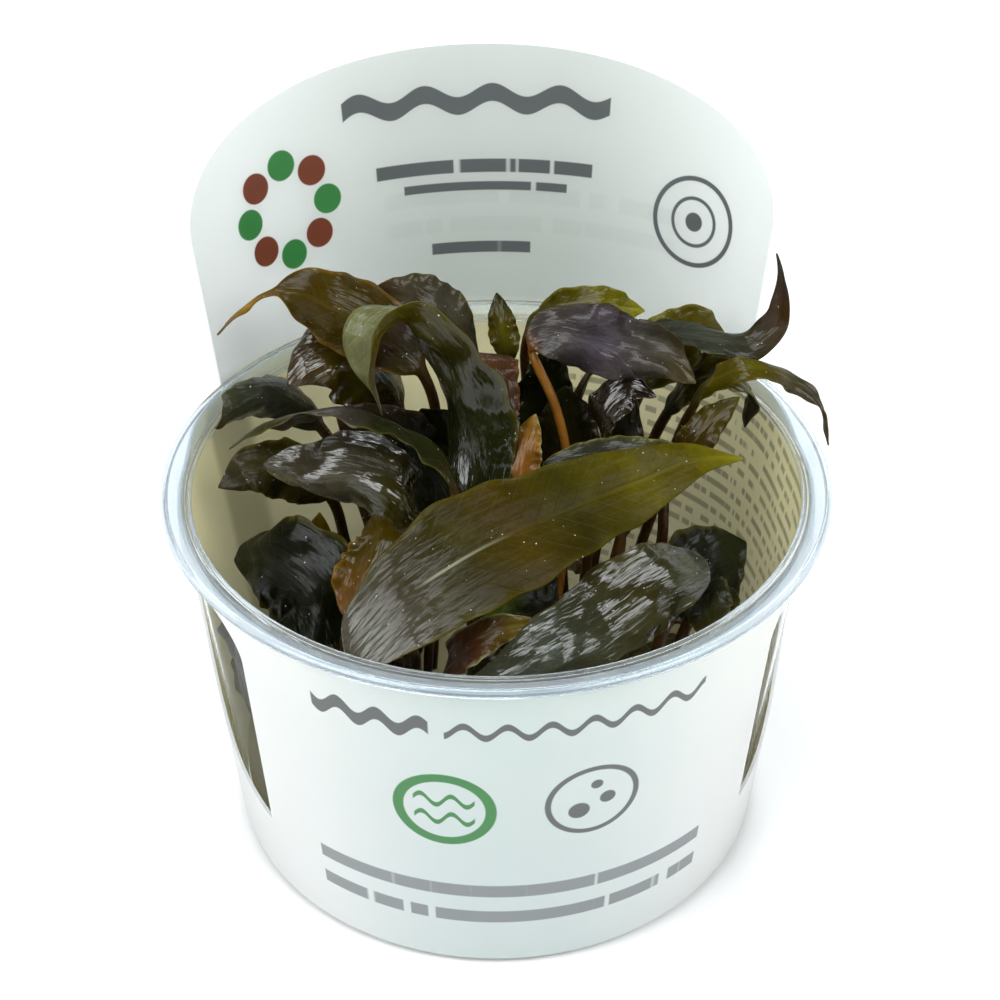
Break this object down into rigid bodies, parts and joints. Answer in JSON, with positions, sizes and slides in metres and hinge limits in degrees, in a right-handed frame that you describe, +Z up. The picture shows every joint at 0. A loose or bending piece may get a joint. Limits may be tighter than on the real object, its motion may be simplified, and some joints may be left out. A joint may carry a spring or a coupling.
{
  "type": "potted aquarium plant",
  "caption": "Young water plant with wavy olive and brown leaves, rooted in jelly in a clear round cup wrapped by a printed sleeve with side windows and a tall back tag.",
  "frame": {"origin": "middle of the cup's flat foot, on the surface the cup stands on", "axes": "+Z up, -Y towards the viewer in front, so the tall tag is at +Y; +X to the viewer's right"},
  "size_m": [0.1028, 0.1088, 0.106],
  "materials": {
    "clear_plastic": "clear, glossy",
    "printed_sleeve": "printed film, satin",
    "jelly": "cloudy jelly, wet",
    "crown": "rough root stock",
    "leaf_olive": "wet leaf",
    "leaf_brown": "wet leaf",
    "leaf_dark": "wet leaf",
    "leaf_purple": "wet leaf"
  },
  "bodies": {
    "root": {"cup": "clear_plastic", "sleeve": "printed_sleeve", "nutrient_gel": "jelly", "crown_front_left": "crown", "crown_middle": "crown", "crown_back_left": "crown", "crown_back_right": "crown", "crown_back": "crown", "crown_front_right": "crown", "leaf_long_front": "leaf_olive", "leaf_olive_fold": "leaf_olive", "leaf_low_left": "leaf_dark", "leaf_small_front": "leaf_brown", "leaf_wall_left": "leaf_dark", "leaf_inner_front": "leaf_dark", "leaf_front_rim": "leaf_dark", "leaf_thin_left": "leaf_brown", "leaf_hook": "leaf_olive", "leaf_purple": "leaf_purple", "leaf_brown_arch": "leaf_brown", "leaf_orange_tip": "leaf_brown", "leaf_grey_middle": "leaf_dark", "leaf_dark_back": "leaf_dark", "leaf_inner_middle": "leaf_dark", "leaf_inner_left": "leaf_dark", "leaf_twisted_tip": "leaf_brown", "leaf_brown_left": "leaf_brown", "leaf_far_left": "leaf_dark", "leaf_olive_left": "leaf_olive", "leaf_long_arch": "leaf_olive", "leaf_draped_left": "leaf_dark", "leaf_back_left": "leaf_dark", "leaf_inner_back": "leaf_dark", "leaf_back_tip": "leaf_olive", "leaf_back_long": "leaf_olive", "leaf_back_olive": "leaf_olive", "leaf_right_hook": "leaf_dark", "leaf_over_rim": "leaf_brown", "leaf_right_lobe": "leaf_olive", "leaf_right_olive": "leaf_olive", "leaf_dark_curl": "leaf_dark", "leaf_inner_right": "leaf_dark", "leaf_grey_front": "leaf_dark", "leaf_small_right": "leaf_olive", "leaf_low_right": "leaf_olive", "leaf_wall_right": "leaf_dark", "leaf_inner_centre": "leaf_dark", "leaf_low_1": "leaf_dark", "leaf_low_2": "leaf_olive", "leaf_low_3": "leaf_dark", "leaf_low_4": "leaf_olive", "leaf_low_5": "leaf_dark", "leaf_low_6": "leaf_olive", "leaf_low_7": "leaf_dark", "leaf_low_8": "leaf_brown", "leaf_low_9": "leaf_dark", "leaf_low_10": "leaf_brown", "leaf_low_11": "leaf_dark"}
  },
  "joints": []
}
